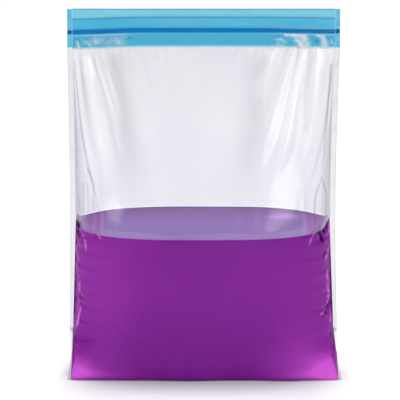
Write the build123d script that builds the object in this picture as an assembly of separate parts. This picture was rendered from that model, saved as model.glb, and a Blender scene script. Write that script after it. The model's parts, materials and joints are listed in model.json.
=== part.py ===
from build123d import *
import os
from math import pi, sin, sqrt

# A clear film storage bag that stands on a folded bottom panel, with a tinted press-to-close header,
# holding a coloured liquid. Millimetres. +X is the bag's right, -Y its front and +Z up.
# The origin is on the floor, under the middle of the bag.

# Overall size
BAG_HEIGHT = 390.0  # floor to the rear lip
HEADER_HALF_WIDTH = 140.0  # middle to the outer edge of a side seal, at the header
WAIST_PULL = 1.6  # how far the full belly draws each side seal in
FOOT_HALF_WIDTH = 142.5  # middle to the outer corner of a foot

# Film and seams
FILM = 0.5  # film thickness
SEAL_WIDTH = 5.0  # side seal, across the bag
PINCH_WIDTH = 1.6  # side seal where it forks
FOOT_WIDTH = 3.0  # each foot on the floor
SEAL_THICKNESS = 1.0  # two films melted together
FOOT_THICKNESS = 1.2  # wall film and bottom film melted together, measured along Y
SEAM_GAP = 0.4  # half the space between the two walls where they reach a side seal
CLEARANCE = 0.3  # space left between separate pieces

# The pocket, from the floor up to the header
FORK_HEIGHT = 43.0  # where each side seal splits into a front foot and a rear foot
PINCH_END = 90.0  # the side seal has its full width above this height
FOOT_DEPTH = 38.5  # middle to a foot, along Y, on the floor
BASE_DEPTH = 43.0  # half-depth on the floor, in the middle of a wall
BELLY_DEPTH = 52.0  # half-depth halfway up the filled part
FOLD_DEPTH = 50.0  # half-depth at the fold line
FOLD_HEIGHT = 165.0  # line about which each upper wall bends to open the mouth
TAPER_FULLNESS = 0.25  # how convex the side profile is above the fold line
LIQUID_HEIGHT = 158.0
TENT_START = 84.0  # middle to where the bottom panel's fold leaves the floor

# Header and its press-to-close profile
HEADER_BOTTOM = 349.0
FRONT_LIP = 382.0  # height of the shorter, front lip
TAPE = 0.6  # header tape thickness
TAPE_INNER = 1.3  # middle to a tape's inner face
ZIP_HEIGHT = 4.2
ZIP_MIDDLE = 367.3
ZIP_BACK = 0.6  # thickness of the channel's back
ZIP_JAW = 0.8  # thickness of each jaw of the channel
JAW_TIP = 0.6  # how far past the middle a jaw reaches
RIB_BACK = 0.4  # thickness of the rib's back
RIB_TIP = 0.3  # how far past the middle the rib reaches
RIB_THICKNESS = 1.6
STOP_WIDTH = 3.4
STOP_THICKNESS = 2.6

CURVE_STEPS = 8  # spline points on each half of a wall's plan curve
WALL_SECTION_PITCH = 15.0  # greatest height between two sections of a wall


def outer_half_width(z):
    """Outer edge of a side seal, or of a foot below the fork, at height z."""
    waist = WAIST_PULL * sin(pi * min(z, HEADER_BOTTOM) / HEADER_BOTTOM)
    flare = (FOOT_HALF_WIDTH - HEADER_HALF_WIDTH) * max(0.0, 1 - z / FORK_HEIGHT) ** 1.5
    return HEADER_HALF_WIDTH - waist + flare


def seal_width(z):
    """Width of a side seal: the full belly pulls it narrow at the fork, and the feet spread again."""
    if z < FORK_HEIGHT:
        return PINCH_WIDTH + (FOOT_WIDTH - PINCH_WIDTH) * (1 - z / FORK_HEIGHT)
    widening = min(1.0, (z - FORK_HEIGHT) / (PINCH_END - FORK_HEIGHT))
    return PINCH_WIDTH + (SEAL_WIDTH - PINCH_WIDTH) * widening


def seal_inner_edge(z):
    return outer_half_width(z) - seal_width(z)


def centre_depth(z):
    """Half-depth of the pocket's outer face on the centre line at height z."""
    if z <= FOLD_HEIGHT:
        rise = z / FOLD_HEIGHT
        bulge = BELLY_DEPTH - (BASE_DEPTH + FOLD_DEPTH) / 2
        return BASE_DEPTH + (FOLD_DEPTH - BASE_DEPTH) * rise + 4 * bulge * rise * (1 - rise)
    taper = (z - FOLD_HEIGHT) / (HEADER_BOTTOM - FOLD_HEIGHT)
    header_depth = TAPE_INNER + TAPE
    fullness = (1 - taper) * (1 + TAPER_FULLNESS * taper)
    return header_depth + (FOLD_DEPTH - header_depth) * fullness


def seam_depth(z):
    """Distance from the middle plane to a wall's side edge: the two walls part below the fork."""
    spread = max(0.0, 1 - z / FORK_HEIGHT)
    return SEAM_GAP + (FOOT_DEPTH - SEAM_GAP) * spread


def wall_curve(z, inset, side=-1):
    """Plan curve of a wall at height z, moved towards the inside of the bag by inset.

    side is -1 for the front wall and 1 for the rear wall.
    """
    half = seal_inner_edge(z) - CLEARANCE - inset
    seam = seam_depth(z)
    reach = centre_depth(z) - inset - seam
    points = []
    for step in range(-CURVE_STEPS, CURVE_STEPS + 1):
        across = sin(pi / 2 * step / CURVE_STEPS)
        bow = sqrt(1 - abs(across) ** 3)
        points.append((half * across, side * (seam + reach * bow), z))
    return Spline(*points)


def closed_face(first, second):
    """Face between two curves that run the same way, closed by straight ends."""
    edges = [first, Line(first @ 1, second @ 1), second, Line(second @ 0, first @ 0)]
    return Face(Wire(edges))


def pocket_face(z, inset):
    """Level slice through the whole pocket, from the front wall to the rear wall."""
    return closed_face(wall_curve(z, inset), wall_curve(z, inset, side=1))


def section_heights(low, high):
    count = max(1, round((high - low) / WALL_SECTION_PITCH))
    return [low + (high - low) * step / count for step in range(count + 1)]


def wall(low, high):
    """Front wall film between two heights, standing clear of the side seals."""
    heights = section_heights(low, high)
    if low < FORK_HEIGHT < high:
        heights = section_heights(low, FORK_HEIGHT) + section_heights(FORK_HEIGHT, high)[1:]
    sections = [closed_face(wall_curve(z, 0), wall_curve(z, FILM)) for z in heights]
    return loft(sections, ruled=True)


def rear(front_piece):
    return mirror(front_piece, about=Plane.XZ)


def right(left_piece):
    return mirror(left_piece, about=Plane.YZ)


def rectangle_at(z, x_low, x_high, y_low, y_high):
    middle = ((x_low + x_high) / 2, (y_low + y_high) / 2, z)
    return Plane(middle) * Rectangle(x_high - x_low, y_high - y_low)


def block(x_low, x_high, y_low, y_high, z_low, z_high):
    base = rectangle_at(z_low, x_low, x_high, y_low, y_high)
    return extrude(base, z_high - z_low)


def tent(offset):
    """Space under one end of the bottom panel's fold, grown by offset: a pyramid on its side."""
    end = seal_inner_edge(0) + CLEARANCE
    half = FOOT_DEPTH + offset
    peak = FORK_HEIGHT + offset
    mouth = Polyline((end, -half, 0), (end, half, 0), (end, 0, peak), close=True)
    return loft([Vertex(TENT_START - 2 * offset, 0, 0), Face(Wire(mouth.edges()))])


def both_tents(offset):
    one = tent(offset)
    return [one, right(one)]


def pocket(low, high):
    """Space inside the walls between two heights."""
    heights = section_heights(low, FORK_HEIGHT)
    if high > FORK_HEIGHT:
        heights += section_heights(FORK_HEIGHT, high)[1:]
    return loft([pocket_face(z, FILM + CLEARANCE) for z in heights], ruled=True)


def bottom_gusset():
    """Bottom film: flat on the floor, and folded up into a tent at each end."""
    half = FOOT_HALF_WIDTH
    floor_film = block(-half, half, -BELLY_DEPTH, BELLY_DEPTH, 0, FILM)
    folded_film = floor_film + both_tents(FILM) - both_tents(0)
    return folded_film & pocket(0, FORK_HEIGHT)


def liquid_fill():
    """Liquid that fills the pocket from the bottom film up to its level."""
    return pocket(FILM + CLEARANCE, LIQUID_HEIGHT) - both_tents(FILM + CLEARANCE)


def side_seal():
    """Left side seal, from the fork up to the header."""
    half = SEAL_THICKNESS / 2
    sections = []
    for z in section_heights(FORK_HEIGHT + CLEARANCE, HEADER_BOTTOM - CLEARANCE):
        sections.append(rectangle_at(z, -outer_half_width(z), -seal_inner_edge(z), -half, half))
    return loft(sections, ruled=True)


def front_foot():
    """Left front foot: the side seal's lower end, which slopes down, forward and outward to the floor."""
    sections = []
    for z in section_heights(0, FORK_HEIGHT):
        back = -seam_depth(z)
        sections.append(
            rectangle_at(z, -outer_half_width(z), -seal_inner_edge(z), back - FOOT_THICKNESS, back)
        )
    return loft(sections, ruled=True)


def zip_end_stop():
    """Left end of the press-to-close profile, crushed flat and melted so that it can't come apart."""
    middle = -HEADER_HALF_WIDTH + SEAL_WIDTH / 2
    half_width = STOP_WIDTH / 2
    half_depth = STOP_THICKNESS / 2
    low = ZIP_MIDDLE - ZIP_HEIGHT / 2
    return block(middle - half_width, middle + half_width, -half_depth, half_depth, low, low + ZIP_HEIGHT)


def header_seal():
    """Left side seal through the tinted header, with a window for the crushed end of the profile."""
    half = SEAL_THICKNESS / 2
    strip = block(
        -HEADER_HALF_WIDTH, -HEADER_HALF_WIDTH + SEAL_WIDTH, -half, half, HEADER_BOTTOM, BAG_HEIGHT
    )
    stop = zip_end_stop().bounding_box()
    window = block(
        stop.min.X - CLEARANCE / 2, stop.max.X + CLEARANCE / 2, -STOP_THICKNESS, STOP_THICKNESS,
        stop.min.Z - CLEARANCE / 2, stop.max.Z + CLEARANCE / 2,
    )
    return strip - window


def header_tape(lip):
    """Front header tape, from the bottom of the header up to a lip."""
    half = HEADER_HALF_WIDTH - SEAL_WIDTH - CLEARANCE
    return block(-half, half, -TAPE_INNER - TAPE, -TAPE_INNER, HEADER_BOTTOM, lip)


def zip_channel():
    """Front half of the profile: a channel that opens towards the rear."""
    half = HEADER_HALF_WIDTH - SEAL_WIDTH - CLEARANCE
    low = ZIP_MIDDLE - ZIP_HEIGHT / 2
    high = ZIP_MIDDLE + ZIP_HEIGHT / 2
    bar = block(-half, half, -TAPE_INNER, JAW_TIP, low, high)
    slot = block(-half, half, -TAPE_INNER + ZIP_BACK, JAW_TIP, low + ZIP_JAW, high - ZIP_JAW)
    return bar - slot


def zip_rib():
    """Rear half of the profile: a rib that presses into the channel."""
    half = HEADER_HALF_WIDTH - SEAL_WIDTH - CLEARANCE
    low = ZIP_MIDDLE - ZIP_HEIGHT / 2
    back = block(-half, half, TAPE_INNER - RIB_BACK, TAPE_INNER, low, low + ZIP_HEIGHT)
    rib_low = ZIP_MIDDLE - RIB_THICKNESS / 2
    rib = block(-half, half, -RIB_TIP, TAPE_INNER - RIB_BACK, rib_low, rib_low + RIB_THICKNESS)
    return back + rib


def make_pieces():
    lower_wall = wall(0, FOLD_HEIGHT - CLEARANCE)
    upper_wall = wall(FOLD_HEIGHT + CLEARANCE, HEADER_BOTTOM - CLEARANCE)
    seal = side_seal()
    foot = front_foot()
    stop = zip_end_stop()
    strip = header_seal()
    return {
        "front_wall_lower": lower_wall,
        "rear_wall_lower": rear(lower_wall),
        "bottom_gusset": bottom_gusset(),
        "liquid_fill": liquid_fill(),
        "left_side_seal": seal,
        "right_side_seal": right(seal),
        "front_left_foot": foot,
        "front_right_foot": right(foot),
        "rear_left_foot": rear(foot),
        "rear_right_foot": rear(right(foot)),
        "left_header_seal": strip,
        "right_header_seal": right(strip),
        "left_zip_end_stop": stop,
        "right_zip_end_stop": right(stop),
        "front_wall_upper": upper_wall,
        "front_header_tape": header_tape(FRONT_LIP),
        "zip_channel": zip_channel(),
        "rear_wall_upper": rear(upper_wall),
        "rear_header_tape": rear(header_tape(BAG_HEIGHT)),
        "zip_rib": zip_rib(),
    }


os.makedirs("parts", exist_ok=True)
for node, piece in make_pieces().items():
    export_step(piece, f"parts/{node}.step")
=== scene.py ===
import json
import math

import bmesh
import bpy
import numpy as np
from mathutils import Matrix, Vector


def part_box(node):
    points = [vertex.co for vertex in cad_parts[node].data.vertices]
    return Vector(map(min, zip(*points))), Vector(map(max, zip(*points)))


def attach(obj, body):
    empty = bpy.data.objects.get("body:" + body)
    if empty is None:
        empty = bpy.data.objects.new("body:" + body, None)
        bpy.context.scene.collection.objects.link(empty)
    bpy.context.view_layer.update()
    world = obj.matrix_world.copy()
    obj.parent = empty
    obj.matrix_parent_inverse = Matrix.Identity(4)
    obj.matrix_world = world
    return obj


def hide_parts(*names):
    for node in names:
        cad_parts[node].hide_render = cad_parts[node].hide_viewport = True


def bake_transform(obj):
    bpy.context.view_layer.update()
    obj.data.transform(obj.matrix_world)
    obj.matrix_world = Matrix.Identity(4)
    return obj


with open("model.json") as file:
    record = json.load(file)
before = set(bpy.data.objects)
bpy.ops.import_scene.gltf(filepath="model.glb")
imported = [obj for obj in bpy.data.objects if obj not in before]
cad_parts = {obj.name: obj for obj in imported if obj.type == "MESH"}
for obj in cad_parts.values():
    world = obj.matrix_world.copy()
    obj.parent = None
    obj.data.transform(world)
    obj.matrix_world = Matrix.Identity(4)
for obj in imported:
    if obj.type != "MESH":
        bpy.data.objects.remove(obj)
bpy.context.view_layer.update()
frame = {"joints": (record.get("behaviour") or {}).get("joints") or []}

# The clear storage bag's looks: thin folded film, a tinted header with its press-to-close profile, and the
# liquid. Metres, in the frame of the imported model: +X is the bag's right, -Y its front, +Z up.

MM = 0.001

# ---------------------------------------------------------------- places read from the frame


def joint_place(name):
    joint = next(j for j in frame["joints"] if j["name"] == name)
    return Vector(joint["pos_m"])


FOLD_Z = joint_place("front_mouth_open").z
FOLD_DEPTH = -joint_place("front_mouth_open").y
HEADER_HALF = -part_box("left_header_seal")[0].x
HEADER_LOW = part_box("front_header_tape")[0].z
FRONT_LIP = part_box("front_header_tape")[1].z
REAR_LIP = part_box("rear_header_tape")[1].z
TAPE_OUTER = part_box("rear_header_tape")[1].y
TAPE_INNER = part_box("rear_header_tape")[0].y
TAPE_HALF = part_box("front_header_tape")[1].x
ZIP_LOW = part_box("zip_channel")[0].z
ZIP_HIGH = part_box("zip_channel")[1].z
LIQUID_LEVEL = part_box("liquid_fill")[1].z
FORK_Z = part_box("front_left_foot")[1].z
FOOT_HALF = -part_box("front_left_foot")[0].x
FOOT_DEPTH = -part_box("front_left_foot")[0].y
BELLY_DEPTH = -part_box("front_wall_lower")[0].y
SEAL_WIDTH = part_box("left_header_seal")[1].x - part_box("left_header_seal")[0].x

# ---------------------------------------------------------------- shape of the bag

BASE_DEPTH = 43 * MM  # half-depth on the floor, in the middle of a wall
LEVEL_SWELL = 3.5 * MM  # how much further the walls bulge at the liquid's level
SWELL_REACH = 42 * MM
BOW_POWER = 3.3  # how boxy a wall's curve is from seal to seal
WAIST_PULL = 2.7 * MM  # how far the side edges are drawn in between the floor and the header
SWAY = 0.9 * MM  # how far the bag leans to its left, halfway up
BASE_SHIFT = 1.1 * MM  # how far the base sits to the right, on the floor
FLARE_TRIM = 0.2 * MM  # how much narrower the feet are than the CAD ones
FLARE_POWER = 2.4
NIP = 2.2 * MM  # how far the side edges are drawn in above the feet
NIP_Z = 20 * MM
BASE_REACH = 14 * MM  # how far up the nip and the base's shift reach
PINCH_WIDTH = 3.2 * MM  # a seal's width at its fork
FOOT_WIDTH = 3.4 * MM
SEAL_SPREAD = 0.8 * MM  # how much wider the thin film's seal lies than the CAD one
PINCH_END = 74 * MM  # a seal has its full width above this height
WANDER = 0.45 * MM  # how far the seals' inner edges stray
SEAM_GAP = 0.35 * MM
TAPER_FULLNESS = 0.25
FILM = 0.3 * MM  # film thickness
SEED = 11


def ease(t):
    """Smooth step from 0 to 1."""
    t = np.clip(t, 0.0, 1.0)
    return t * t * (3 - 2 * t)


def bell(distance, reach):
    """Soft bump: 1 at distance 0, and nearly 0 beyond twice its reach."""
    return np.exp(-(distance / reach) ** 2)


def outer_half_width(z):
    waist = WAIST_PULL * np.sin(math.pi * np.minimum(z, HEADER_LOW) / HEADER_LOW)
    flare = (FOOT_HALF - FLARE_TRIM - HEADER_HALF) * np.clip(1 - z / FORK_Z, 0, 1) ** FLARE_POWER
    return HEADER_HALF - waist + flare - NIP * bell(z - NIP_Z, BASE_REACH)


def sway(z):
    """How far the bag's middle strays from x = 0: it leans to its left, and its base sits to the right."""
    lean = -SWAY * np.sin(math.pi * np.minimum(z, HEADER_LOW) / HEADER_LOW)
    return lean + BASE_SHIFT * bell(z, BASE_REACH)


def seal_width(z):
    below = PINCH_WIDTH + (FOOT_WIDTH - PINCH_WIDTH) * (1 - z / FORK_Z)
    wide = SEAL_WIDTH + SEAL_SPREAD - PINCH_WIDTH
    above = PINCH_WIDTH + wide * ease((z - FORK_Z) / (PINCH_END - FORK_Z))
    return np.where(z < FORK_Z, below, above)


def film_half_width(z):
    """Where the wall film meets the side seal."""
    return outer_half_width(z) - seal_width(z)


def edge_wander(z, end):
    """How far a seal's inner edge strays inwards beside the liquid: scallops that differ on the two sides."""
    beside = ease((z - FORK_Z) / (15 * MM)) * ease((LIQUID_LEVEL + 10 * MM - z) / (15 * MM))
    phase = np.where(np.asarray(end) < 0, 0.4, 2.3)
    waves = np.sin(2 * math.pi * z / (15 * MM) + phase)
    waves += 0.6 * np.sin(2 * math.pi * z / (8.5 * MM) + 2 * phase)
    return WANDER * waves * beside


def centre_depth(z):
    """Half-depth of the bag on its centre line."""
    rise = z / FOLD_Z
    bulge = BELLY_DEPTH - (BASE_DEPTH + FOLD_DEPTH) / 2
    low = BASE_DEPTH + (FOLD_DEPTH - BASE_DEPTH) * rise + 4 * bulge * rise * (1 - rise)
    taper = np.clip((z - FOLD_Z) / (HEADER_LOW - FOLD_Z), 0, 1)
    high = TAPE_OUTER + (FOLD_DEPTH - TAPE_OUTER) * (1 - taper) * (1 + TAPER_FULLNESS * taper)
    return np.where(z <= FOLD_Z, low, high) + LEVEL_SWELL * bell(z - LIQUID_LEVEL, SWELL_REACH)


def bow(across):
    """How a wall curves from one seal to the other: 1 in the middle and 0 at the seals."""
    return np.sqrt(np.clip(1 - np.abs(across) ** BOW_POWER, 0, 1))


def seam_depth(z):
    """Distance from the middle plane to the film's side edge: the walls part below the fork."""
    return SEAM_GAP + (FOOT_DEPTH - SEAM_GAP) * np.clip(1 - z / FORK_Z, 0, 1)


def wall_surface(across, z, side):
    """Points of a wall: across runs from -1 at the left seal to 1 at the right one, side is -1 in front."""
    seam = seam_depth(z)
    x = sway(z) + (film_half_width(z) - edge_wander(z, across)) * across
    y = side * (seam + (centre_depth(z) - seam) * bow(across))
    return np.stack([x, y, z], axis=-1)


# ---------------------------------------------------------------- folds in the film


def curve_through(points, pieces=8):
    """Points along a smooth line through a few given ones."""
    points = np.array(points, float)
    if len(points) < 3:
        return points
    padded = np.vstack([2 * points[0] - points[1], points, 2 * points[-1] - points[-2]])
    line = []
    for index in range(1, len(padded) - 2):
        before, here, there, after = padded[index - 1:index + 3]
        for t in np.linspace(0, 1, pieces, endpoint=False):
            slope = (there - before) * t + (2 * before - 5 * here + 4 * there - after) * t ** 2
            line.append(0.5 * (2 * here + slope + (3 * here - before - 3 * there + after) * t ** 3))
    line.append(points[-1])
    return np.array(line)


def crease(x, z, points, width, height, sharpness=2.0, fade_in=0.06, fade_out=0.3, spread=0.8):
    """Height of one fold that follows a line of (x, z) points: a ridge, or a valley if height is below 0.

    It starts at half of its width and widens by spread along the line. A low sharpness gives a sharp crest.
    """
    line = curve_through(points)
    steps = np.diff(line, axis=0)
    lengths = np.hypot(steps[:, 0], steps[:, 1])
    total = lengths.sum()
    reach = 3 * width * (0.5 + spread)
    near = (x > line[:, 0].min() - reach) & (x < line[:, 0].max() + reach)
    near &= (z > line[:, 1].min() - reach) & (z < line[:, 1].max() + reach)
    relief = np.zeros_like(x)
    if not near.any():
        return relief
    px, pz = x[near], z[near]
    best = np.full(px.shape, 1e9)
    along = np.zeros(px.shape)
    travelled = 0.0
    for (ax, az), (dx, dz), length in zip(line[:-1], steps, lengths):
        t = np.clip(((px - ax) * dx + (pz - az) * dz) / length ** 2, 0, 1)
        distance = np.hypot(px - ax - t * dx, pz - az - t * dz)
        closer = distance < best
        best = np.where(closer, distance, best)
        along = np.where(closer, (travelled + t * length) / total, along)
        travelled += length
    across = best / (width * (0.5 + spread * along))
    envelope = ease(along / fade_in) * ease((1 - along) / fade_out)
    relief[near] = height * np.exp(-across ** sharpness) * envelope
    return relief


def ripples(x, z, random, wavelength, count=9):
    """Smooth random waves between about -1 and 1, of one typical wavelength."""
    total = np.zeros_like(x)
    for _ in range(count):
        angle = random.uniform(0, math.pi)
        pitch = wavelength * random.uniform(0.7, 1.5)
        phase = random.uniform(0, 2 * math.pi)
        total += np.sin(2 * math.pi * (x * math.cos(angle) + z * math.sin(angle)) / pitch + phase)
    return total / math.sqrt(count)


# The front film's main folds. Each is a line of points: across, from -1 to 1 between the side seals, and up,
# from 0 at the fold line to 1 at the header's lower edge. Then come width and height in millimetres, where a
# height below 0 is a valley, and the sharpness.
FRONT_FOLDS = [
    # left: a dark crease from the header's corner down to the liquid, and the fans beside it
    ([(-1.00, 0.94), (-0.95, 0.53), (-0.89, 0.29), (-0.83, 0.11), (-0.81, 0.0)], 1.5, -0.75, 1.2),
    ([(-0.965, 0.94), (-0.915, 0.53), (-0.86, 0.32)], 3.4, 1.1, 2.0),
    ([(-0.91, 0.98), (-0.854, 0.71), (-0.766, 0.44), (-0.70, 0.10)], 7.0, 1.9, 2.0),
    ([(-0.857, 0.97), (-0.74, 0.66), (-0.636, 0.25)], 5.0, -0.8, 2.0),
    ([(-0.796, 1.02), (-0.66, 0.77), (-0.55, 0.50)], 6.0, 1.1, 2.0),
    ([(-1.0, 0.19), (-0.98, 0.13), (-0.965, -0.02)], 1.4, -0.5, 1.3),
    ([(-0.925, 0.25), (-0.924, 0.11), (-0.92, -0.06)], 2.6, 0.7, 1.6),
    ([(-0.56, 1.02), (-0.51, 0.85)], 2.6, 0.45, 1.8),
    ([(-0.31, 1.02), (-0.31, 0.92)], 1.8, 0.35, 1.8),
    ([(-0.03, 1.02), (-0.045, 0.92)], 1.8, 0.30, 1.8),
    ([(0.28, 1.02), (0.25, 0.91)], 2.4, 0.30, 1.8),
    # right: three bright folds from under the profile, and a dark, kinked line beside the seal
    ([(0.785, 1.09), (0.72, 0.82), (0.648, 0.505), (0.58, 0.35), (0.54, 0.2)], 5.0, 1.4, 2.0),
    ([(0.715, 1.06), (0.606, 0.81), (0.48, 0.51), (0.38, 0.3)], 7.0, 1.5, 2.0),
    ([(0.60, 1.07), (0.445, 0.91), (0.35, 0.75)], 8.5, 1.1, 2.0),
    ([(0.865, 1.07), (0.86, 0.71), (0.85, 0.43), (0.83, 0.2)], 8.0, 1.3, 2.0),
    ([(0.98, 0.92), (0.968, 0.70), (0.956, 0.53), (0.93, 0.27)], 3.4, -1.1, 1.7),
    ([(0.93, 0.27), (0.875, 0.147), (0.876, -0.01), (0.84, -0.10)], 1.5, -0.75, 1.2),
    ([(0.915, 0.29), (0.962, 0.157), (0.963, 0.0)], 1.3, -0.6, 1.2),
    ([(0.775, 0.17), (0.783, -0.03)], 2.6, 0.5, 1.8),
]

# Wrinkles of the front film beside the liquid. The points are across, from -1 to 1, and up, as a share of the
# liquid's level. Then come width in millimetres and tone: below 0 a valley, above 0 a ridge. Each gives the
# film some relief and puts a mark on the liquid behind it: painted shade for a valley, a painted highlight
# for a ridge.
SIDE_MARKS = [
    # left, from the liquid's surface down
    ([(-0.985, 1.12), (-0.985, 1.0), (-0.945, 0.92)], 3.8, -1.0),
    ([(-0.99, 1.10), (-0.965, 0.985)], 3.6, -0.9),
    ([(-0.965, 1.06), (-0.945, 0.987), (-0.925, 0.933), (-0.92, 0.84)], 1.3, 0.7),
    ([(-0.847, 1.02), (-0.815, 0.985), (-0.788, 0.957)], 1.1, 0.7),
    ([(-0.862, 1.02), (-0.828, 0.968)], 2.2, -0.6),
    ([(-0.985, 0.93), (-0.985, 0.86)], 1.4, -0.9),
    ([(-0.968, 0.918), (-0.988, 0.836), (-0.976, 0.762), (-0.991, 0.695), (-0.956, 0.641), (-0.964, 0.575)],
     0.9, 0.8),
    ([(-0.987, 0.80), (-0.99, 0.73)], 1.1, -0.8),
    ([(-0.987, 0.66), (-0.985, 0.60)], 1.1, -0.7),
    ([(-0.972, 0.62), (-0.960, 0.56)], 1.8, 0.8),
    ([(-0.985, 0.513), (-0.955, 0.537), (-0.922, 0.521)], 1.8, -0.6),
    ([(-0.947, 0.545), (-0.90, 0.538)], 1.0, 0.5),
    ([(-0.968, 0.503), (-0.954, 0.453), (-0.959, 0.367), (-0.968, 0.292)], 1.8, 0.7),
    ([(-0.976, 0.25), (-0.967, 0.202)], 1.8, -0.8),
    ([(-0.968, 0.231), (-0.816, 0.271)], 2.2, -0.22),
    # right
    ([(0.965, 1.06), (0.935, 0.98), (0.915, 0.90)], 4.2, -0.85),
    ([(0.90, 1.05), (0.915, 0.96), (0.915, 0.91)], 4.6, -0.8),
    ([(0.88, 1.03), (0.845, 0.97), (0.825, 0.93), (0.81, 0.886)], 1.2, 0.8),
    ([(0.971, 1.034), (0.979, 0.96), (0.995, 0.891)], 1.8, 0.8),
    ([(0.955, 1.02), (0.962, 0.95)], 1.1, -0.7),
    ([(0.991, 0.882), (0.963, 0.838), (0.943, 0.771)], 1.3, 0.8),
    ([(0.963, 0.90), (0.939, 0.821), (0.924, 0.74)], 1.5, -0.6),
    ([(0.955, 0.718), (0.963, 0.61), (0.973, 0.486)], 2.4, 0.55),
    ([(0.985, 0.475), (0.945, 0.44), (0.971, 0.40)], 2.6, -1.0),
    ([(0.965, 0.455), (0.89, 0.415)], 1.4, 1.0),
    ([(0.955, 0.435), (0.915, 0.395)], 1.3, -0.8),
    ([(0.972, 0.40), (0.962, 0.34)], 2.4, 0.9),
    ([(0.975, 0.56), (0.955, 0.50), (0.97, 0.47)], 1.6, 0.8),
    ([(0.965, 0.34), (0.972, 0.25)], 1.2, -0.5),
    ([(0.959, 0.282), (0.972, 0.172), (0.99, 0.06)], 1.1, -0.55),
    ([(0.767, 0.985), (0.791, 0.982)], 1.2, -0.6),
]
MARK_RELIEF = 0.7 * MM
MARK_STRENGTH = 1.8
MARK_SHIFT = 0.011  # the outermost wrinkles move this share further out, onto the film's turn


def marked_line(points):
    """A wrinkle's shares to (x, z) in metres."""
    line = []
    for across, up in points:
        z = up * LIQUID_LEVEL
        moved = across * (1 + MARK_SHIFT * ease((abs(across) - 0.90) / 0.06))
        line.append((moved * film_half_width(z), z))
    return line


def side_marks(x, z):
    """Tone of the front film's side wrinkles at each point: relief, and painted shade below 0, painted
    highlight above 0.
    """
    tone = np.zeros_like(x)
    for points, width, strength in SIDE_MARKS:
        line = marked_line(points)
        tone += crease(x, z, line, 0.85 * width * MM, MARK_STRENGTH * strength, 2.2, 0.05, 0.3, 0.3)
    return tone


def crumple(y, z):
    """Share of a side wrinkle's tone that shows: it comes and goes along the film's turn towards the seal."""
    waves = np.sin(2 * math.pi * (y / (6.5 * MM) + z / (31 * MM)) + 1.4 * np.sin(2 * math.pi * z / (17 * MM)))
    return 0.08 + 0.82 * ease(0.5 + 0.5 * waves)


def to_bag(points):
    """Fold-list shares to (x, z) in metres."""
    rise = HEADER_LOW - FOLD_Z
    return [(a * film_half_width(FOLD_Z + u * rise), FOLD_Z + u * rise) for a, u in points]


def fan_folds(x, z, random, side, count):
    """Fine folds that fan out from one upper corner of the film."""
    relief = np.zeros_like(x)
    for _ in range(count):
        top = side * random.uniform(0.45, 1.0)
        bottom = top - side * random.uniform(0.04, 0.30)
        line = to_bag([(top, random.uniform(0.96, 1.05)), (bottom, random.uniform(0.25, 0.75))])
        height = random.choice([-1, 1]) * random.uniform(0.10, 0.30) * MM
        relief += crease(x, z, line, random.uniform(3.0, 6.0) * MM, height, 2.0)
    return relief


def header_pleats(x, z, random, count=14):
    """Short pleats where the film is welded under the header."""
    relief = np.zeros_like(x)
    for _ in range(count):
        place = random.uniform(-0.8, 0.8)
        lean = -0.05 * place
        line = to_bag([(place, 1.0), (place + lean, random.uniform(0.90, 0.96))])
        relief += crease(x, z, line, random.uniform(1.2, 2.4) * MM, random.uniform(0.15, 0.4) * MM)
    return relief


def side_crinkles(x, z, random, side, count=9):
    """Small creases that run in from a side seal where the liquid pulls the film tight."""
    relief = np.zeros_like(x)
    for _ in range(count):
        start_z = random.uniform(0.12, 1.02) * LIQUID_LEVEL
        edge = side * film_half_width(start_z)
        length = random.uniform(4, 13) * MM
        angle = random.uniform(-0.9, 0.9)
        end = (edge - side * length * math.cos(angle), start_z + length * math.sin(angle))
        height = random.choice([-1, -1, 1]) * random.uniform(0.3, 0.8) * MM
        line = [(edge, start_z), end]
        relief += crease(x, z, line, random.uniform(1.0, 2.2) * MM, height, 1.5, 0.01, 0.6)
    return relief


def base_waves(x, z):
    """The film's lower edge, which isn't quite straight."""
    waves = bell(x + 22 * MM, 38 * MM) + bell(x - 82 * MM, 30 * MM)
    return 2.2 * MM * waves * (1 - ease(z / (40 * MM)))


def wall_relief(x, z, side):
    """How far a wall's film stands out from its smooth shape."""
    random = np.random.default_rng(SEED + (side > 0))
    dry = ease((z - LIQUID_LEVEL) / (60 * MM))
    tied = 1 - ease((np.abs(x) / film_half_width(z) - 0.90) / 0.10)
    welded = 1 - ease((z - HEADER_LOW + 12 * MM) / (12 * MM))
    relief = 1.1 * MM * ripples(x, z * 0.45, random, 85 * MM) * dry * tied * welded
    relief += 0.10 * MM * ripples(x, z * 0.35, random, 26 * MM) * dry * tied * welded
    relief += 0.25 * MM * ripples(x, z, random, 70 * MM) * (1 - dry) * tied
    for end in (-1, 1):
        relief += fan_folds(x, z, random, end, 3)
        relief += side_crinkles(x, z, random, end)
    relief += header_pleats(x, z, random)
    relief += base_waves(x * -side, z)
    if side < 0:
        relief += MARK_RELIEF * side_marks(x, z)
        for points, width, height, sharpness in FRONT_FOLDS:
            relief += crease(x, z, to_bag(points), width * MM, height * MM, sharpness)
    else:
        for points, width, height, sharpness in FRONT_FOLDS[::2]:
            mirrored = [(-across, up) for across, up in points]
            relief += crease(x, z, to_bag(mirrored), 1.5 * width * MM, 0.7 * height * MM, 2.0)
    seam = 1 - ease((np.abs(x) / film_half_width(z) - 0.985) / 0.015)
    return relief * seam


# ---------------------------------------------------------------- mesh building


def grid_normals(points):
    """Unit normals of a grid of points, rows by columns by 3."""
    by_row = np.gradient(points, axis=0)
    by_column = np.gradient(points, axis=1)
    normals = np.cross(by_column, by_row)
    lengths = np.linalg.norm(normals, axis=-1, keepdims=True)
    return normals / np.maximum(lengths, 1e-12)


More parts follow.
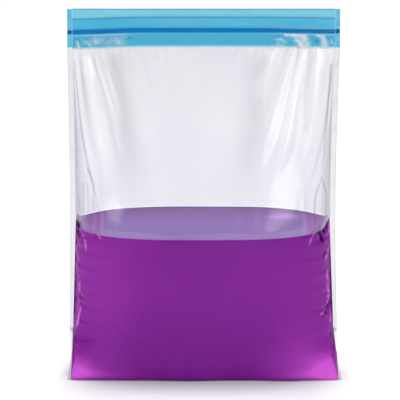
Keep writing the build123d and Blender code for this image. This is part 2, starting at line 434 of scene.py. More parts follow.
def new_object(name, vertices, faces, loop_normals=None):
    mesh = bpy.data.meshes.new(name)
    mesh.from_pydata([tuple(v) for v in vertices], [], faces)
    mesh.update()
    mesh.polygons.foreach_set("use_smooth", [True] * len(mesh.polygons))
    if loop_normals is not None:
        mesh.normals_split_custom_set([tuple(n) for n in loop_normals])
    made = bpy.data.objects.new(name, mesh)
    bpy.context.scene.collection.objects.link(made)
    return made


def grid_faces(rows, columns, start=0, flip=False):
    faces = []
    for r in range(rows - 1):
        for c in range(columns - 1):
            low = start + r * columns + c
            face = (low, low + 1, low + columns + 1, low + columns)
            faces.append(face[::-1] if flip else face)
    return faces


def tube_faces(count, size, capped=True):
    """Faces that join rings of points, each ring of the same size, into a tube."""
    faces = []
    for start in range(0, (count - 1) * size, size):
        for i in range(size):
            j = (i + 1) % size
            faces.append((start + i, start + j, start + size + j, start + size + i))
    if capped:
        faces.append(tuple(reversed(range(size))))
        faces.append(tuple(range((count - 1) * size, count * size)))
    return faces


def rim_loop(rows, columns):
    """Indices round the edge of a grid."""
    bottom = [c for c in range(columns - 1)]
    right = [r * columns + columns - 1 for r in range(rows - 1)]
    top = [(rows - 1) * columns + c for c in range(columns - 1, 0, -1)]
    left = [r * columns for r in range(rows - 1, 0, -1)]
    return bottom + right + top + left


def shell(name, outer, normals, thickness):
    """Closed thin shell: outer is a grid of points, and the inner face lies thickness behind its normals."""
    rows, columns = outer.shape[:2]
    count = rows * columns
    inner = outer - normals * thickness
    vertices = np.vstack([outer.reshape(-1, 3), inner.reshape(-1, 3)])
    outer_faces = grid_faces(rows, columns)
    inner_faces = grid_faces(rows, columns, count, flip=True)
    loop = rim_loop(rows, columns)
    rim = [(b, a, a + count, b + count) for a, b in zip(loop, loop[1:] + loop[:1])]
    flat = normals.reshape(-1, 3)
    loop_normals = [flat[i] for face in outer_faces for i in face]
    loop_normals += [-flat[i - count] for face in inner_faces for i in face]
    for face in rim:
        a, b, c = (vertices[i] for i in face[:3])
        across = np.cross(b - a, c - b)
        size = np.linalg.norm(across)
        loop_normals += [across / size if size > 0 else flat[face[1]]] * 4
    return new_object(name, vertices, outer_faces + inner_faces + rim, loop_normals)


def halves(name, outer, normals, thickness, values):
    """Left and right shells of one sheet that meet on the bag's middle plane, with one smooth set of normals.

    values holds a number per grid point for each named attribute.
    """
    middle = outer.shape[1] // 2
    first = shell(name + "_a", outer[:, :middle + 1], normals[:, :middle + 1], thickness)
    second = shell(name + "_b", outer[:, middle:], normals[:, middle:], thickness)
    for piece, columns in ((first, slice(None, middle + 1)), (second, slice(middle, None))):
        for key, grid in values.items():
            point_values(piece, key, np.stack([grid[:, columns], grid[:, columns]]))
    left, right = (first, second) if outer[0, 0, 0] < 0 else (second, first)
    left.name = name + "_left"
    right.name = name + "_right"
    return left, right


# valleys in the film get painted shade, and ridges a painted highlight, by their curvature
CREASE_BEND = 320.0  # curvature, in 1/m, from which a valley in the film looks fully dark


def across_steps(columns):
    """Places across a wall from -1 to 1, closer together near the seals."""
    return np.sin(0.5 * math.pi * np.linspace(-1, 1, columns))


# Painted tone of the front film, without relief: soft streaks of painted highlight and painted shade. Each is
# a line of points as in FRONT_FOLDS, then width in millimetres and strength: above 0 a clearer painted
# highlight, below 0 a greyer painted shade.
FILM_STREAKS = [
    ([(-0.987, 0.99), (-0.955, 0.70), (-0.885, 0.42), (-0.80, 0.10)], 2.4, 1.0),
    ([(-0.91, 1.0), (-0.83, 0.66), (-0.735, 0.33), (-0.68, 0.06)], 7.0, 1.0),
    ([(0.79, 1.04), (0.69, 0.78), (0.58, 0.46), (0.50, 0.20)], 8.0, 1.0),
    ([(0.735, 0.90), (0.66, 0.56), (0.57, 0.28)], 5.0, 0.8),
    ([(0.62, 1.02), (0.50, 0.85), (0.40, 0.68)], 8.0, 0.7),
    ([(0.90, 1.04), (0.88, 0.68), (0.84, 0.30)], 8.0, 1.0),
    ([(-0.70, 1.0), (-0.60, 0.55), (-0.52, 0.05)], 15.0, -0.55),
    ([(0.45, 1.0), (0.36, 0.5), (0.32, 0.0)], 17.0, -0.35),
    ([(0.80, 0.62), (0.72, 0.30), (0.68, 0.05)], 6.0, -0.25),
]


def streak_tone(x, z):
    """Tone of the front film's painted streaks at each point: above 0 a clearer painted highlight, below 0
    grey painted shade.
    """
    tone = np.zeros_like(x)
    for points, width, strength in FILM_STREAKS:
        tone += crease(x, z, to_bag(points), width * MM, strength, 2.0, 0.1, 0.6, 0.7)
    return tone


def film_points(z_values, columns, side):
    """Grid of points on a wall's outer face, folds included, and the film's creases and streaks at each."""
    across, z = np.meshgrid(across_steps(columns), z_values)
    if side > 0:
        across = across[:, ::-1]
    smooth = wall_surface(across, z, side)
    relief = wall_relief(smooth[..., 0], smooth[..., 2], side)
    slope = np.gradient(relief, axis=1) / np.gradient(smooth[..., 0], axis=1)
    bend = np.gradient(slope, axis=1) / np.gradient(smooth[..., 0], axis=1)
    tone = streak_tone(smooth[..., 0], smooth[..., 2]) if side < 0 else np.zeros_like(relief)
    # painted shade in creases and grey streaks, painted highlight on ridges and clear streaks, and wetness
    values = {
        "painted_shade": np.clip(bend / CREASE_BEND, 0, 1) + np.clip(-tone, 0, 1),
        "pale": np.clip(0.6 * tone + 0.2 * np.clip(-bend / CREASE_BEND, 0, 1), 0, 1),
        "wet": np.clip((level_at(across) - z) / (1.0 * MM) + 1.0, 0, 1),
    }
    return smooth + grid_normals(smooth) * relief[..., None], values


def point_values(made, name, values):
    """Keeps one number per point on a mesh, for its material."""
    attribute = made.data.attributes.new(name, "FLOAT", "POINT")
    attribute.data.foreach_set("value", np.ascontiguousarray(values, dtype=np.float32).reshape(-1))


def swept(name, profile, x_values, place):
    """Closed bar: a profile of (y, z) points carried along x. place moves each point to follow the header."""
    rings = []
    for x in x_values:
        rings += [place(x, y, z) for y, z in profile]
    made = new_object(name, rings, tube_faces(len(x_values), len(profile)))
    made.data.polygons.foreach_set("use_smooth", [False] * len(made.data.polygons))
    return made


def outward(made, weld=0.0):
    """Makes a closed mesh's faces point outwards, after joining points that are closer than weld."""
    work = bmesh.new()
    work.from_mesh(made.data)
    if weld:
        bmesh.ops.remove_doubles(work, verts=work.verts, dist=weld)
    bmesh.ops.recalc_face_normals(work, faces=work.faces)
    work.to_mesh(made.data)
    work.free()
    return made


# ---------------------------------------------------------------- materials


def node(tree, kind, inputs=(), **settings):
    made = tree.nodes.new(kind)
    for key, value in settings.items():
        setattr(made, key, value)
    for key, value in dict(inputs).items():
        if isinstance(value, bpy.types.NodeSocket):
            tree.links.new(value, made.inputs[key])
        else:
            made.inputs[key].default_value = value
    return made


def calc(tree, operation, *values, clamp=False):
    made = node(tree, "ShaderNodeMath", dict(enumerate(values)), operation=operation, use_clamp=clamp)
    return made.outputs[0]


def blank_material(name):
    material = bpy.data.materials.new(name)
    material.use_nodes = True
    material.node_tree.nodes.clear()
    return material, material.node_tree


def finish_material(tree, surface):
    node(tree, "ShaderNodeOutputMaterial", {"Surface": surface})


def noise(tree, scale, detail=2.0, stretch=(1, 1, 1), roughness=0.5):
    place = node(tree, "ShaderNodeTexCoord").outputs["Object"]
    mapped = node(tree, "ShaderNodeMapping", {"Vector": place, "Scale": stretch}).outputs[0]
    inputs = {"Vector": mapped, "Scale": scale, "Detail": detail, "Roughness": roughness}
    return node(tree, "ShaderNodeTexNoise", inputs).outputs["Fac"]


def bump(tree, height, distance, strength=1.0):
    inputs = {"Height": height, "Distance": distance, "Strength": strength}
    return node(tree, "ShaderNodeBump", inputs).outputs[0]


def glancing(tree, normal=None):
    """0 where the film faces the eye and 1 where it is seen edge-on. It is the same on both of its faces."""
    weight = node(tree, "ShaderNodeLayerWeight", {"Blend": 0.5})
    if normal is not None:
        tree.links.new(normal, weight.inputs["Normal"])
    return weight.outputs["Facing"]


def gloss_share(tree, edge_on, head_on, growth):
    """Share of light a clear film mirrors: little head-on, most of it edge-on."""
    rising = calc(tree, "POWER", edge_on, growth)
    return calc(tree, "MULTIPLY_ADD", rising, 1 - head_on, head_on, clamp=True)


def cloud_shader(tree, colour, normal):
    """Light scattered evenly to both sides."""
    lit = node(tree, "ShaderNodeBsdfDiffuse", {"Color": (*colour, 1), "Normal": normal}).outputs[0]
    backlit = node(tree, "ShaderNodeBsdfTranslucent", {"Color": (*colour, 1), "Normal": normal}).outputs[0]
    return node(tree, "ShaderNodeMixShader", {0: 0.5, 1: lit, 2: backlit}).outputs[0]


def film_shader(tree, tint, haze_colour, haze_share, mirror_share, normal, roughness, painted_white_highlight=None):
    """Light passes through, haze and painted white highlights scatter some of it, and the surface mirrors the
    rest.
    """
    through = node(tree, "ShaderNodeBsdfTransparent", {"Color": tint}).outputs[0]
    haze = cloud_shader(tree, haze_colour, normal)
    body = node(tree, "ShaderNodeMixShader", {0: haze_share, 1: through, 2: haze}).outputs[0]
    if painted_white_highlight is not None:
        white = cloud_shader(tree, (0.97, 0.97, 0.98), normal)
        body = node(tree, "ShaderNodeMixShader", {0: painted_white_highlight, 1: body, 2: white}).outputs[0]
    inputs = {"Color": (1, 1, 1, 1), "Roughness": roughness, "Normal": normal}
    mirror = node(tree, "ShaderNodeBsdfGlossy", inputs).outputs[0]
    return node(tree, "ShaderNodeMixShader", {0: mirror_share, 1: body, 2: mirror}).outputs[0]


def clear_sheet(name, tint, haze_colour, haze, edge_haze, growth=4.0, wets=False):
    """Clear film: painted shade in its creases and grey streaks, darker edge-on, a painted highlight where
    its streaks and ridges are clear, and clearer where wet.
    """
    material, tree = blank_material(name)
    dry = calc(tree, "SUBTRACT", 1.0, value_of(tree, "wet")) if wets else 1.0
    fine = noise(tree, 240, 3.0)
    broad = noise(tree, 26, 2.0, (1, 1, 0.4))
    normal = bump(tree, calc(tree, "MULTIPLY_ADD", fine, 0.04, broad), 0.35 * MM, 0.6)
    edge_on = glancing(tree)
    # painted shade, in the film's creases and grey streaks and along the seals' edges
    painted_shade = calc(tree, "MULTIPLY", value_of(tree, "painted_shade"), 0.24)
    thick = calc(tree, "MULTIPLY_ADD", calc(tree, "POWER", edge_on, 2.0), 0.38, painted_shade)
    through = mix(tree, dry, (1, 1, 1), mix(tree, thick, tint, (0.30, 0.31, 0.35)))
    patchy = calc(tree, "MULTIPLY_ADD", broad, 0.5, 0.75)
    grown = calc(tree, "MULTIPLY_ADD", calc(tree, "POWER", edge_on, 2.5), edge_haze, haze)
    # painted highlight of the film's ridges and streaks, and the seals' own even clearness
    clear_and_painted_highlight = calc(tree, "MULTIPLY", value_of(tree, "pale"), dry, clamp=True)
    through = mix(tree, clear_and_painted_highlight, through, (1, 1, 1))
    haze_left = calc(tree, "SUBTRACT", calc(tree, "MULTIPLY_ADD", dry, 0.95, 0.05), clear_and_painted_highlight, clamp=True)
    haze_share = calc(tree, "MULTIPLY", calc(tree, "MULTIPLY", grown, patchy), haze_left, clamp=True)
    gloss_left = calc(tree, "MULTIPLY_ADD", dry, 0.90, 0.10)
    mirror_share = calc(tree, "MULTIPLY", gloss_share(tree, edge_on, 0.04, growth), gloss_left)
    worn = calc(tree, "MULTIPLY_ADD", broad, 0.06, 0.11)
    finish_material(tree, film_shader(tree, through, haze_colour, haze_share, mirror_share, normal, worn))
    return material


def tape_sheet(name, tint, haze_colour, haze, head_on=0.05, roughness=0.12):
    """Tinted header film: clear over the profile, with a painted dark line at its lip, painted white
    highlights, and fading out at its lower edge.
    """
    material, tree = blank_material(name)
    broad = noise(tree, 22, 2.0, (0.4, 1, 1))
    fine = noise(tree, 260, 2.0)
    normal = bump(tree, calc(tree, "MULTIPLY_ADD", fine, 0.04, broad), 0.3 * MM, 0.6)
    edge_on = glancing(tree)
    bonded = value_of(tree, "bonded")
    fading = value_of(tree, "fading")
    lines = calc(tree, "MULTIPLY_ADD", broad, 0.5, -0.15, clamp=True)
    drawn = mix(tree, lines, tint, [c * 0.9 for c in tint])
    through = mix(tree, value_of(tree, "deep"), drawn, [c * k for c, k in zip(tint, (0.55, 0.93, 0.95))])
    # painted shade: a dark line along the lip
    at_lip = calc(tree, "MULTIPLY", value_of(tree, "painted_shade"), 0.95)
    through = mix(tree, at_lip, through, (0.0, 0.42, 0.64))
    through = mix(tree, bonded, through, (0.93, 0.97, 0.99))
    through = mix(tree, fading, through, (0.95, 0.95, 0.96))
    plain = calc(tree, "MULTIPLY", calc(tree, "SUBTRACT", 1.0, bonded), calc(tree, "SUBTRACT", 1.0, fading))
    haze_share = calc(tree, "MULTIPLY", calc(tree, "MULTIPLY_ADD", edge_on, 0.3, haze), plain, clamp=True)
    mirror_share = calc(tree, "MULTIPLY", gloss_share(tree, edge_on, head_on, 4.0),
                        calc(tree, "MULTIPLY_ADD", bonded, -0.92, 1.0))
    # painted white highlights on the creases and beside the profile
    painted_white_highlight = calc(tree, "MULTIPLY", value_of(tree, "pale"), calc(tree, "SUBTRACT", 1.0, bonded), clamp=True)
    surface = film_shader(tree, through, haze_colour, haze_share, mirror_share, normal, roughness, painted_white_highlight)
    finish_material(tree, surface)
    return material


def value_of(tree, name):
    return node(tree, "ShaderNodeAttribute", attribute_name=name).outputs["Fac"]


def mix(tree, share, first, second):
    """Colour between two, each given as three numbers or as a socket."""
    pair = [c if isinstance(c, bpy.types.NodeSocket) else (*c, 1) for c in (first, second)]
    made = node(tree, "ShaderNodeMix", data_type="RGBA")
    for key, value in zip(("Factor", "A", "B"), (share, *pair)):
        socket = next(i for i in made.inputs if i.name == key and i.enabled)
        if isinstance(value, bpy.types.NodeSocket):
            tree.links.new(value, socket)
        else:
            socket.default_value = value
    return next(o for o in made.outputs if o.enabled)


def ramp(tree, place, stops):
    """Colour ramp with stops of (place, colour)."""
    made = node(tree, "ShaderNodeValToRGB", {"Fac": place})
    elements = made.color_ramp.elements
    while len(elements) < len(stops):
        elements.new(0.5)
    for element, (position, colour) in zip(elements, stops):
        element.position = position
        element.color = (*colour, 1)
    return made.outputs["Color"]


def liquid_material():
    """Opaque purple liquid: a painted glow towards its lower corners, painted wrinkle shade and highlights,
    and a pale open surface.
    """
    material, tree = blank_material("purple_liquid")
    cloudy = calc(tree, "MULTIPLY_ADD", noise(tree, 9, 1.5), 0.16, -0.08)
    # painted glow: deep purple where little is painted, magenta where much is
    depth = calc(tree, "ADD", value_of(tree, "painted_glow"), cloudy, clamp=True)
    body = ramp(tree, depth, [
        (0.0, (0.105, 0.005, 0.145)), (0.30, (0.205, 0.011, 0.275)), (0.55, (0.320, 0.026, 0.390)),
        (0.8, (0.52, 0.065, 0.56)), (1.0, (0.72, 0.105, 0.74)),
    ])
    # painted shade and painted highlights of the film's side wrinkles
    body = mix(tree, value_of(tree, "painted_shade_mark"), body, (0.035, 0.0, 0.055))
    body = mix(tree, value_of(tree, "painted_highlight_mark"), body, (0.78, 0.20, 0.80))
    # open surface: a painted highlight line at its front rim, and darker towards the back
    top = ramp(tree, value_of(tree, "to_back"), [
        (0.0, (0.80, 0.30, 0.90)), (0.012, (0.74, 0.29, 0.86)), (0.035, (0.41, 0.22, 0.67)),
        (0.30, (0.40, 0.23, 0.65)), (0.60, (0.36, 0.20, 0.59)), (0.80, (0.31, 0.145, 0.46)),
        (1.0, (0.27, 0.12, 0.39)),
    ])
    drift = calc(tree, "MULTIPLY_ADD", noise(tree, 14, 2.0, (1, 2.5, 1)), 0.7, -0.35)
    pinker = calc(tree, "ADD", value_of(tree, "pinker"), drift, clamp=True)
    top = mix(tree, calc(tree, "MULTIPLY", pinker, 0.9), top, (0.43, 0.11, 0.59))
    # painted pale highlights on the open surface
    top = mix(tree, value_of(tree, "painted_highlight_patches"), top, (0.76, 0.38, 1.0))
    on_top = value_of(tree, "open_surface")
    colour = mix(tree, on_top, body, top)
    shine = calc(tree, "MULTIPLY", on_top, 0.35)
    inputs = {"Base Color": colour, "Roughness": 0.22, "IOR": 1.36, "Specular IOR Level": shine}
    finish_material(tree, node(tree, "ShaderNodeBsdfPrincipled", inputs).outputs[0])
    return material


def zip_material(name, dark, light):
    """Blue plastic of the press-to-close profile, with faint lines from being drawn."""
    material, tree = blank_material(name)
    drawn = noise(tree, 60, 2.0, (0.05, 1, 1))
    colour = mix(tree, drawn, dark, light)
    normal = bump(tree, drawn, 0.15 * MM)
    inputs = {"Base Color": colour, "Roughness": 0.28, "Specular IOR Level": 0.03, "Normal": normal}
    finish_material(tree, node(tree, "ShaderNodeBsdfPrincipled", inputs).outputs[0])
    return material


FILM_CLEAR = clear_sheet("clear_film", (0.955, 0.952, 0.963), (0.78, 0.77, 0.84), 0.026, 0.30, wets=True)
FILM_SEALED = clear_sheet("sealed_film", (0.84, 0.838, 0.845), (0.72, 0.73, 0.76), 0.08, 0.4, 3.0)
HEADER_TINT = tape_sheet("header_tint", (0.48, 0.805, 0.86), (0.14, 0.60, 0.90), 0.19)
FRONT_TINT = tape_sheet("front_header_tint", (0.50, 0.905, 0.985), (0.16, 0.70, 0.97), 0.04, 0.06)
HEADER_SEALED = tape_sheet("header_sealed", (0.36, 0.76, 0.85), (0.12, 0.50, 0.80), 0.20)
ZIP_BLUE = zip_material("zip_blue", (0.0, 0.20, 0.49), (0.0, 0.235, 0.56))
ZIP_CRUSHED = zip_material("zip_crushed", (0.0, 0.10, 0.32), (0.0, 0.16, 0.42))
PURPLE = liquid_material()


def dress(piece, material):
    piece.data.materials.clear()
    piece.data.materials.append(material)
    return piece


# ---------------------------------------------------------------- the bag's pieces

WALL_COLUMNS = 241
LOWER_ROWS = 165
UPPER_ROWS = 170
SIDE_NAMES = {-1: "front", 1: "rear"}


def stay_on_bag(piece, material, node_name):
    """Dresses a piece that keeps still with the bag, in place of a CAD piece."""
    dress(piece, material)
    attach(piece, "bag")
    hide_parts(node_name)


def bend_with_mouth(piece, material, node_name):
    """Dresses a half of a sheet, hides its CAD piece, and bakes its place into its points."""
    dress(piece, material)
    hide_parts(node_name)
    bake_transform(piece)


def wall_film(side):
    """One wall's film: a lower sheet on the bag, and an upper one in halves that open with the mouth."""
    where = SIDE_NAMES[side]
    lower_z = np.linspace(0.0, FOLD_Z, LOWER_ROWS)
    upper_z = np.linspace(FOLD_Z, HEADER_LOW + 1.5 * MM, UPPER_ROWS)
    outer, values = film_points(np.concatenate([lower_z, upper_z[1:]]), WALL_COLUMNS, side)
    normals = grid_normals(outer)
    lower = shell(f"{where}_film_lower", outer[:LOWER_ROWS], normals[:LOWER_ROWS], FILM)
    for key, grid in values.items():
        point_values(lower, key, np.stack([grid[:LOWER_ROWS], grid[:LOWER_ROWS]]))
    stay_on_bag(lower, FILM_CLEAR, f"{where}_wall_lower")
    upper = slice(LOWER_ROWS - 1, None)
    upper_values = {key: grid[upper] for key, grid in values.items()}
    for piece in halves(f"{where}_film_upper", outer[upper], normals[upper], FILM, upper_values):
        bend_with_mouth(piece, FILM_CLEAR, f"{where}_wall_upper")


TAPE_THICKNESS = TAPE_OUTER - TAPE_INNER
ZIP_MIDDLE = (ZIP_LOW + ZIP_HIGH) / 2

# Creases in the front tape's lower band: x as a share of the tape's half-length, and up from its lower edge,
# at 0, to the profile, at 1. Then come width and height in millimetres. Each is relief with a painted white
# highlight on it.
TAPE_FOLDS = [
    ([(-0.97, 0.70), (-0.955, 0.35), (-0.95, -0.2)], 2.4, 0.65),
    ([(-0.905, 0.65), (-0.87, 0.35), (-0.83, -0.2)], 2.2, 0.4),
    ([(-0.94, 0.50), (-0.80, 0.62), (-0.56, 0.50)], 8.0, 0.30),
    ([(-0.84, 0.88), (-0.81, 0.30)], 2.6, 0.45),
    ([(-0.67, 0.80), (-0.64, 0.30)], 2.6, 0.30),
    ([(-0.65, 0.60), (-0.63, 0.26)], 2.2, 0.35),
    ([(0.53, 0.62), (0.60, 0.55), (0.64, 0.30)], 2.4, 0.45),
    ([(0.55, 0.38), (0.60, 0.05)], 3.0, 0.45),
    ([(0.60, 0.95), (0.70, 0.90), (0.770, 0.68), (0.775, -0.3)], 4.6, 1.0),
    ([(0.68, 0.60), (0.735, 0.40), (0.745, -0.3)], 4.8, 0.8),
    ([(0.85, 1.0), (0.90, 0.82), (0.918, 0.45), (0.922, -0.2)], 3.8, 1.0),
    ([(0.965, 0.70), (0.985, 0.30)], 1.3, 0.7),
]


def droop(x):
    """How far the front tape hangs below its middle: more at its left end than at its right."""
    hang = np.where(np.asarray(x) < 0, 2.3, 1.1) * MM
    return hang * ease((np.abs(x) - 60 * MM) / (TAPE_HALF - 50 * MM))


def tape_creases(x, z):
    """Height of the front tape's main creases."""
    relief = np.zeros_like(x)
    for points, width, height in TAPE_FOLDS:
        line = [(share * TAPE_HALF, HEADER_LOW + up * (ZIP_LOW - HEADER_LOW)) for share, up in points]
        relief += crease(x, z, line, width * MM, height * MM, 2.0, 0.1, 0.15, 0.5)
    return relief * ease((ZIP_LOW - z) / (1.5 * MM))


def tape_relief(x, z, side):
    """The tape bulges over the profile, and its lower band creases towards both ends."""
    random = np.random.default_rng(SEED + 5 + (side > 0))
    relief = 0.9 * MM * np.exp(-((z - ZIP_MIDDLE) / (2.9 * MM)) ** 4)
    relief += 0.12 * MM * ripples(x * 0.5, z, random, 24 * MM)
    band = ease((ZIP_LOW - z) / (2.5 * MM))
    for end in (-1, 1):
        for _ in range(8):
            place = end * random.uniform(0.55, 0.98) * TAPE_HALF
            low = HEADER_LOW + random.uniform(0, 6) * MM
            lean = random.uniform(-9, 9) * MM
            line = [(place, low), (place + lean, low + random.uniform(5, 12) * MM)]
            relief += band * crease(x, z, line, random.uniform(1.6, 3.0) * MM, random.uniform(0.2, 0.6) * MM)
    if side < 0:
        relief += tape_creases(x, z)
    return relief


def tape_values(x, z, lip, side):
    """Where the tape is bonded to the profile, fades into the clear film and is darker, with a painted dark
    line at its lip and painted white highlights on its creases and beside the profile.
    """
    bonded = ease((2.5 * MM - np.abs(z - ZIP_MIDDLE)) / (0.5 * MM))
    fading = 1 - ease((z - HEADER_LOW) / (3.2 * MM))
    edge = bell(lip - z, 0.8 * MM)
    deep = ease((ZIP_LOW - z) / (1.0 * MM)) * (1 - fading)
    towards_end = ease((np.abs(x) / TAPE_HALF - 0.35) / 0.4)
    # painted highlight lines beside the profile
    painted_light_lines = bell(z - ZIP_LOW + 1.2 * MM, 0.8 * MM)
    painted_light_lines += 0.8 * bell(z - ZIP_HIGH - 1.3 * MM, 0.8 * MM) * (x > 0)
    pale = 0.30 * painted_light_lines * towards_end
    if side < 0:
        # painted white highlights that follow the creases' relief
        streaky = 0.9 + 0.2 * ripples(2 * x, z, np.random.default_rng(SEED + 9), 12 * MM)
        pale = pale + np.clip(tape_creases(x, z) / (1.0 * MM) * streaky, 0, 0.95)
        above = ease((z - ZIP_HIGH) / (1.5 * MM)) * ease((-x / TAPE_HALF - 0.1) / 0.6)
        deep = np.maximum(deep, 0.55 * above)  # the left end of the tape looks darker above the profile too
    return {"bonded": bonded, "fading": fading, "painted_shade": edge, "deep": deep, "pale": pale}


def header_tape(side):
    """One header tape, in two halves that open with the mouth."""
    where = SIDE_NAMES[side]
    lip = FRONT_LIP if side < 0 else REAR_LIP
    rows = 68 if side < 0 else 82
    x_values = np.linspace(-TAPE_HALF, TAPE_HALF, WALL_COLUMNS) * (-1 if side > 0 else 1)
    across, z = np.meshgrid(x_values, np.linspace(HEADER_LOW, lip, rows))
    lean = 0.35 * MM * ease((z - ZIP_HIGH) / (lip - ZIP_HIGH))
    y = side * (TAPE_OUTER - lean + tape_relief(across, z, side))
    hang = droop(across) if side < 0 else droop(across) * (1 - ease((z - ZIP_HIGH) / (8 * MM)))
    outer = np.stack([across, y, z - hang], axis=-1)
    values = tape_values(across, z, lip, side)
    for piece in halves(f"{where}_header_tape", outer, grid_normals(outer), TAPE_THICKNESS, values):
        tint = FRONT_TINT if side < 0 else HEADER_TINT
        bend_with_mouth(piece, tint, f"{where}_header_tape")


def zip_bar(name, profile, node_name):
    """Half of the press-to-close profile, drawn along the header in a left and a right length."""
    for end, start, stop in (("_left", -TAPE_HALF, 0.0), ("_right", 0.0, TAPE_HALF)):
        piece = swept(name + end, profile, np.linspace(start, stop, 60), lambda x, y, z: (x, y, z - droop(x)))
        bend_with_mouth(outward(piece), ZIP_BLUE, node_name)


def press_to_close():
    """A channel on the front tape, and the rib on the rear tape that presses into it."""
    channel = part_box("zip_channel")
    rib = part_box("zip_rib")
    back = channel[0].y + 0.6 * MM
    low, high, jaw, tip = channel[0].z, channel[1].z, 0.8 * MM, channel[1].y
    zip_bar("zip_channel_bar", [
        (channel[0].y, low), (tip, low), (tip, low + jaw), (back, low + jaw),
        (back, high - jaw), (tip, high - jaw), (tip, high), (channel[0].y, high),
    ], "zip_channel")
    root = rib[1].y - 0.4 * MM
    middle, half = (rib[0].z + rib[1].z) / 2, 0.8 * MM
    zip_bar("zip_rib_bar", [
        (rib[1].y, rib[0].z), (rib[1].y, rib[1].z), (root, rib[1].z), (root, middle + half),
        (rib[0].y, middle + half), (rib[0].y, middle - half), (root, middle - half), (root, rib[0].z),
    ], "zip_rib")


def strip(name, z_values, inner, outer, face_y, thickness, end, painted_edge_shade=(0.35, 1.2), pale=0.175):
    """Thin strip that runs up a side of the bag, between an inner and an outer edge, at end -1 or 1."""
    shares = np.linspace(0, 1, 7)
    z = np.repeat(z_values[:, None], len(shares), axis=1)
    x = sway(z) + end * (inner[:, None] + (outer - inner)[:, None] * shares)
    bead = 0.35 * MM * (bell(shares - 0.93, 0.1) + bell(shares - 0.05, 0.1))
    y = face_y[:, None] - bead[None, :] - thickness / 2
    points = np.stack([x, y, z], axis=-1)
    # painted shade along the strip's edges
    edges = painted_edge_shade[1] * bell(shares - 1.0, 0.12) + painted_edge_shade[0] * bell(shares, 0.12)
    edges = np.tile(edges, (len(z_values), 1))
    if end < 0:
        points = points[:, ::-1]
        edges = edges[:, ::-1]
    made = shell(name, points, grid_normals(points), thickness)
    point_values(made, "painted_shade", np.stack([edges, edges]))
    point_values(made, "pale", np.full(edges.size * 2, pale))
    return made


def side_strips(end):
    """Side seal, and its tinted end beside the header."""
    where = "left" if end < 0 else "right"
    random = np.random.default_rng(SEED + 20 + end)
    z = np.linspace(FORK_Z, HEADER_LOW, 240)
    flutter = 0.5 * MM * ripples(z, z * 0, random, 28 * MM) + 0.15 * MM * ripples(z, z * 0, random, 9 * MM)
    inner = film_half_width(z) - edge_wander(z, end)
    seal = strip(f"{where}_seal", z, inner, outer_half_width(z), flutter, 0.5 * MM, end)
    stay_on_bag(seal, FILM_SEALED, f"{where}_side_seal")
    z = np.linspace(HEADER_LOW, REAR_LIP, 60)
    edge = np.full_like(z, HEADER_HALF)
    flutter = 0.25 * MM * ripples(z, z * 0, random, 12 * MM)
    top = strip(f"{where}_header_end", z, edge - SEAL_WIDTH, edge, flutter, 0.8 * MM, end, (0.0, 0.15), 0.0)
    stay_on_bag(top, HEADER_SEALED, f"{where}_header_seal")


def crushed_end(end):
    """End of the profile, crushed flat: a flattened, dented block."""
    where = "left" if end < 0 else "right"
    low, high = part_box(f"{where}_zip_end_stop")
    centre = (low + high) / 2 - Vector((0, 0, droop(end * TAPE_HALF)))
    half = (high - low) / 2
    random = np.random.default_rng(SEED + 40 + end)
    turn, tilt = np.meshgrid(np.linspace(0, 2 * math.pi, 33)[:-1], np.linspace(-1, 1, 15) * math.pi / 2)
    flat = lambda value: np.sign(value) * np.abs(value) ** 0.45
    x = flat(np.cos(tilt)) * flat(np.cos(turn))
    y = flat(np.cos(tilt)) * flat(np.sin(turn))
    z = flat(np.sin(tilt))
    dents = 1 + 0.08 * ripples(x, z, random, 1.4)
    points = np.stack([1.35 * half.x * x, half.y * y * dents, half.z * z], axis=-1) + np.array(centre)
    faces = tube_faces(*points.shape[:2], capped=False)
    stop = outward(new_object(f"{where}_crushed_end", points.reshape(-1, 3), faces), 1e-6)
    stay_on_bag(stop, ZIP_CRUSHED, f"{where}_zip_end_stop")


REAR_TRIM = 2.8 * MM  # how much narrower the rear feet are at the floor


def foot(side, end):
    """Corner of the bag that spreads from the fork down to the floor, and curls a little at its edge."""
    name = f"{SIDE_NAMES[side]}_{'left' if end < 0 else 'right'}"
    z = np.linspace(0.2 * MM, FORK_Z, 60)
    back = side * seam_depth(z)
    trimmed = REAR_TRIM * (side > 0) * ease(4 * (1 - z / FORK_Z))
    outer = outer_half_width(z) - trimmed
    piece = strip(f"{name}_corner", z, film_half_width(z), outer, back, 0.5 * MM, end, (2.4, 1.6), 0.5)
    stay_on_bag(piece, FILM_SEALED, f"{name}_foot")


TENT_START = 0.61  # share of the half-width where the bottom film's fold leaves the floor


def bottom_points(across, share):
    """Bottom film: across from -1 to 1, share from -1 at the front edge to 1 at the rear edge."""
    open_end = np.clip((np.abs(across) - TENT_START) / (1 - TENT_START), 0, 1)
    z = FORK_Z * np.maximum(0, open_end - np.abs(share))
    edge = FOOT_DEPTH + (BASE_DEPTH - FOOT_DEPTH) * bow(across)
    return np.stack([sway(z) + film_half_width(z) * across, edge * share, z], axis=-1)


def gusset():
    """The folded bottom film."""
    share, across = np.meshgrid(np.linspace(-1, 1, 61), across_steps(161))
    points = bottom_points(across, share)
    points[..., 2] += FILM + 0.05 * MM
    points[..., 1] *= 0.992
    piece = shell("bottom_film", points, grid_normals(points), -FILM)
    outward(piece)
    for key, value in (("painted_shade", 0.0), ("pale", 0.0), ("wet", 1.0)):
        point_values(piece, key, np.full(len(piece.data.vertices), value))
    stay_on_bag(piece, FILM_CLEAR, "bottom_gusset")


LIQUID_INSET = 0.45 * MM  # from the film's outer face
MENISCUS = 0.9 * MM  # how far the liquid's open surface rises where it meets a wall
CLIMB = 10.0 * MM  # how far it rises in the narrow gap beside a seal
CLIMB_REACH = 0.024  # as a share of the half-width


